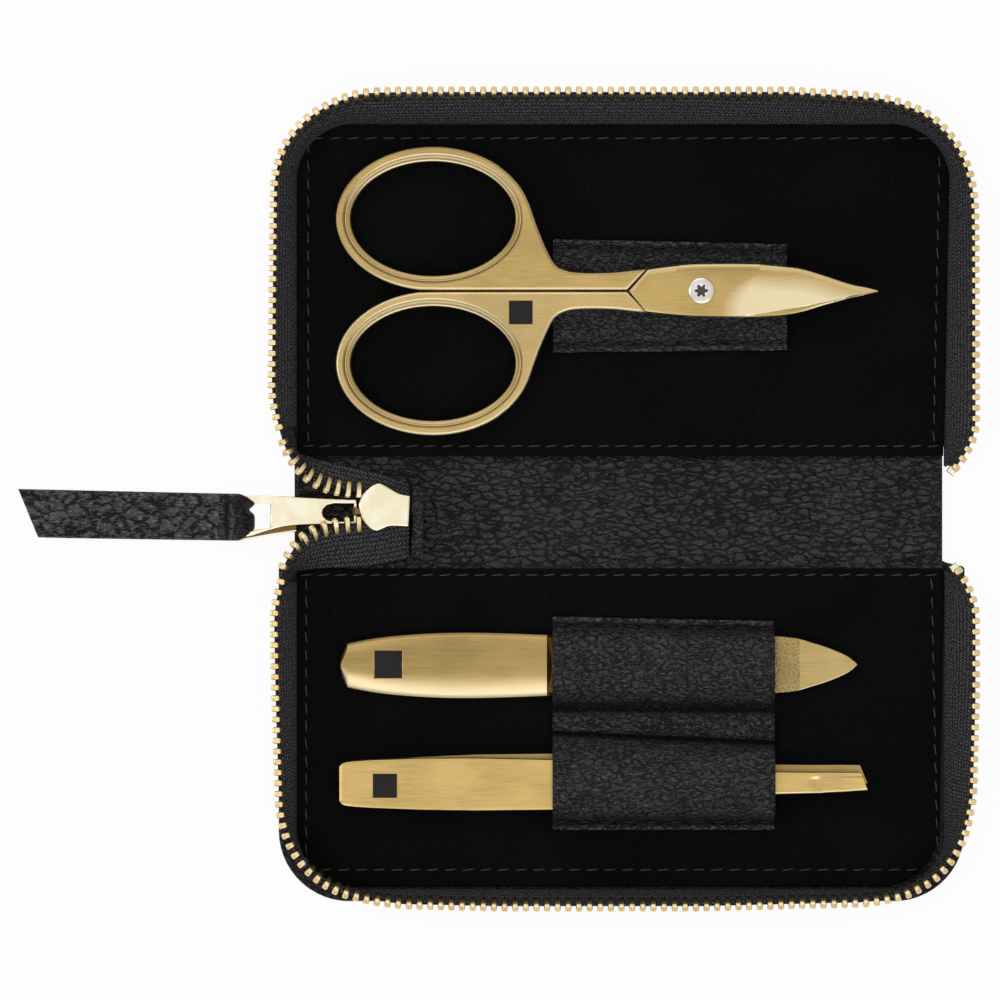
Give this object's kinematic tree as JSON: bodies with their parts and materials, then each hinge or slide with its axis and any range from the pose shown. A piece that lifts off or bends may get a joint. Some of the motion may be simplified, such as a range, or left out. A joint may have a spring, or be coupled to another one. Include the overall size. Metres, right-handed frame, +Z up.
{
  "type": "manicure set case",
  "caption": "Zip-around leather manicure case lying open, with nail scissors on the lid half and a nail file and slanted tweezers held in a stitched loop on the base half.",
  "frame": {"origin": "on the underside of the spine, near the middle of the open case, in the plane that the open case rests on", "axes": "+X along the spine, from the slider and its strap towards the zip's far end; +Y from the base half to the lid half; +Z up out of the open case"},
  "size_m": [0.1636, 0.14, 0.0101],
  "materials": {
    "outer_leather": "black pebble-grained leather, half matt",
    "spine_leather": "black grained leather, finely wrinkled",
    "loop_leather": "black pebble-grained leather with grey stitches",
    "stiffener": null,
    "velour": "near-black short-pile velour",
    "zip_tape": "dark blue-grey woven tape",
    "zip_metal": "polished pale gold",
    "tool_metal": "steel with a satin champagne-gold plating, brushed across",
    "screw_steel": "bright steel",
    "inlay": "plain dark enamel"
  },
  "bodies": {
    "base": {"base_cover": "outer_leather", "base_board": "stiffener", "base_lining": "velour", "base_zip_tape": "zip_tape", "base_zip_teeth": "zip_metal", "base_top_stop": "zip_metal", "tools_loop": "loop_leather"},
    "spine": {"spine_cover": "outer_leather", "spine_lining": "spine_leather", "lid_hinge_leather": "outer_leather", "base_hinge_leather": "outer_leather", "zip_slider": "zip_metal", "slider_bail": "zip_metal", "zip_bottom_stop": "zip_metal", "zip_end_tab": "loop_leather", "lid_tape_end": "zip_tape", "base_tape_end": "zip_tape", "lid_teeth_end": "zip_metal", "base_teeth_end": "zip_metal"},
    "lid": {"lid_cover": "outer_leather", "lid_board": "stiffener", "lid_lining": "velour", "lid_zip_tape": "zip_tape", "lid_zip_teeth": "zip_metal", "lid_top_stop": "zip_metal", "scissors_loop": "loop_leather"},
    "pull": {"pull_tab": "zip_metal"},
    "strap": {"pull_strap": "outer_leather"},
    "scissors_rear": {"scissors_rear_half": "tool_metal", "scissors_screw": "screw_steel", "scissors_inlay": "inlay"},
    "scissors_front": {"scissors_front_half": "tool_metal"},
    "file": {"file_handle": "tool_metal", "file_blade": "tool_metal", "file_inlay": "inlay"},
    "tweezers": {"tweezers_lower_arm": "tool_metal"},
    "tweezers_upper": {"tweezers_upper_arm": "tool_metal", "tweezers_inlay": "inlay"}
  },
  "joints": [
    {"name": "spine_fold", "type": "hinge", "parent": "base", "child": "spine", "pos_m": [0.02065, -0.0104, 0.0006], "axis": [1, 0, 0], "range_deg": [0, 90], "deforming": ["base_hinge_leather", "base_tape_end", "base_teeth_end"]},
    {"name": "lid_fold", "type": "hinge", "parent": "spine", "child": "lid", "pos_m": [0.02065, 0.0088, 0.0006], "axis": [1, 0, 0], "range_deg": [0, 90], "deforming": ["lid_hinge_leather", "lid_tape_end", "lid_teeth_end"]},
    {"name": "pull_swing", "type": "hinge", "parent": "spine", "child": "pull", "pos_m": [-0.0229, -0.002, 0.00343], "axis": [0, -1, 0], "range_deg": [-15, 0]},
    {"name": "strap_swing", "type": "hinge", "parent": "pull", "child": "strap", "pos_m": [-0.0436, -0.0026, 0.00343], "axis": [0, -1, 0], "range_deg": [-75, 75]},
    {"name": "scissors_lift", "type": "slide", "parent": "lid", "child": "scissors_rear", "axis": [0, 0, -1], "range_m": [-0.04, 0]},
    {"name": "scissors_open", "type": "hinge", "parent": "scissors_rear", "child": "scissors_front", "pos_m": [0.0343, 0.0354, 0.00699], "axis": [0.0352, 0, -0.9994], "range_deg": [0, 50]},
    {"name": "file_slide", "type": "slide", "parent": "base", "child": "file", "axis": [1, 0, 0], "range_m": [-0.007, 0]},
    {"name": "tweezers_slide", "type": "slide", "parent": "base", "child": "tweezers", "axis": [1, 0, 0], "range_m": [-0.007, 0]},
    {"name": "tweezers_squeeze", "type": "hinge", "parent": "tweezers", "child": "tweezers_upper", "pos_m": [-0.026, -0.0483, 0.0053], "axis": [0, 1, 0], "range_deg": [0, 1.2], "stiffness_Nm_per_rad": 2}
  ],
  "couplings": [
    {"joint": "lid_fold", "follows": "spine_fold", "ratio": 1},
    {"joint": "scissors_open", "follows": "scissors_lift", "rad_per_m": -21.8}
  ]
}
